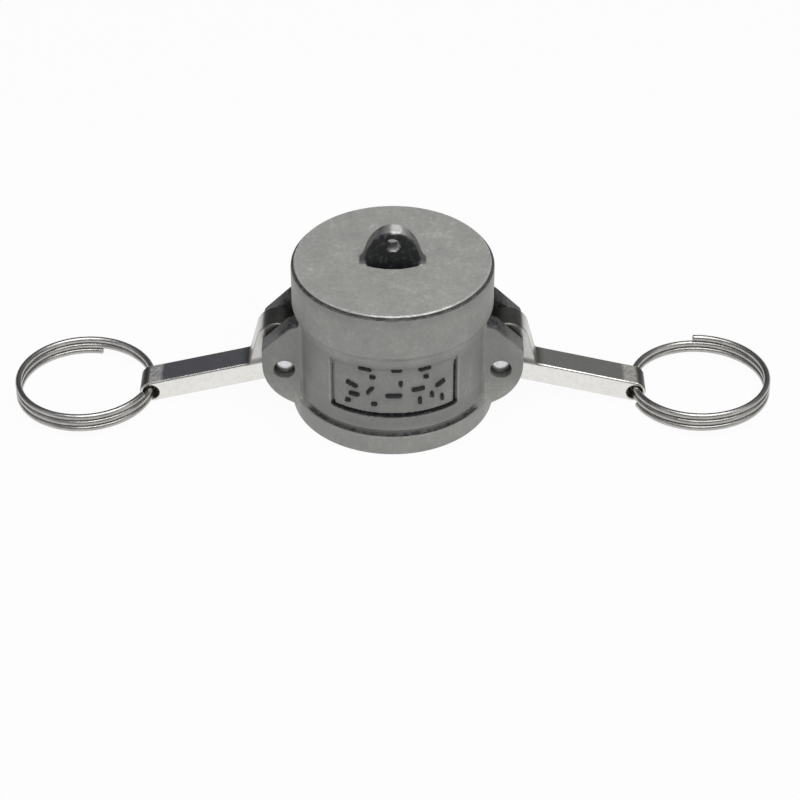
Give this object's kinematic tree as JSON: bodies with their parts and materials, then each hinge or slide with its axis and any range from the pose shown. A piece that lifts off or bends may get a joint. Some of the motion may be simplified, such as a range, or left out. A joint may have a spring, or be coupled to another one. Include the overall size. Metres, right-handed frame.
{
  "type": "camlock dust cap",
  "caption": "Cast dust cap for a cam and groove adapter, with hinged cam arms that swing open, split pull rings and a lanyard lug.",
  "frame": {"origin": "centre of the mouth rim, in the plane that the cap stands on", "axes": "+Z along the cap's axis towards its closed end, +X towards the right cam arm, -Y towards the viewer of the picture"},
  "size_m": [0.2448, 0.065, 0.0645],
  "materials": {
    "cast_aluminium": "as-cast, matt and slightly grainy",
    "stainless_arm": "smooth investment-cast stainless steel, worn bright on the sides",
    "pin_steel": "plain turned ends",
    "ring_steel": "drawn round wire, dull",
    "rubber": "matt black"
  },
  "bodies": {
    "cap": {"cap_body": "cast_aluminium", "gasket": "rubber", "pivot_pin_left": "pin_steel", "pivot_pin_right": "pin_steel"},
    "arm_left": {"cam_arm_left": "stainless_arm"},
    "arm_right": {"cam_arm_right": "stainless_arm"},
    "ring_left": {"pull_ring_left": "ring_steel"},
    "ring_right": {"pull_ring_right": "ring_steel"}
  },
  "joints": [
    {"name": "arm_left_hinge", "type": "hinge", "parent": "cap", "child": "arm_left", "pos_m": [-0.0344, 0, 0.018], "axis": [0, 1, 0], "range_deg": [-38, 106]},
    {"name": "arm_right_hinge", "type": "hinge", "parent": "cap", "child": "arm_right", "pos_m": [0.0344, 0, 0.018], "axis": [0, -1, 0], "range_deg": [-38, 106]},
    {"name": "ring_left_hinge", "type": "hinge", "parent": "arm_left", "child": "ring_left", "pos_m": [-0.07822, 0, 0.00399], "axis": [0, -1, 0], "range_deg": [-30, 165]},
    {"name": "ring_right_hinge", "type": "hinge", "parent": "arm_right", "child": "ring_right", "pos_m": [0.07822, 0, 0.00399], "axis": [0, 1, 0], "range_deg": [-30, 165]}
  ]
}
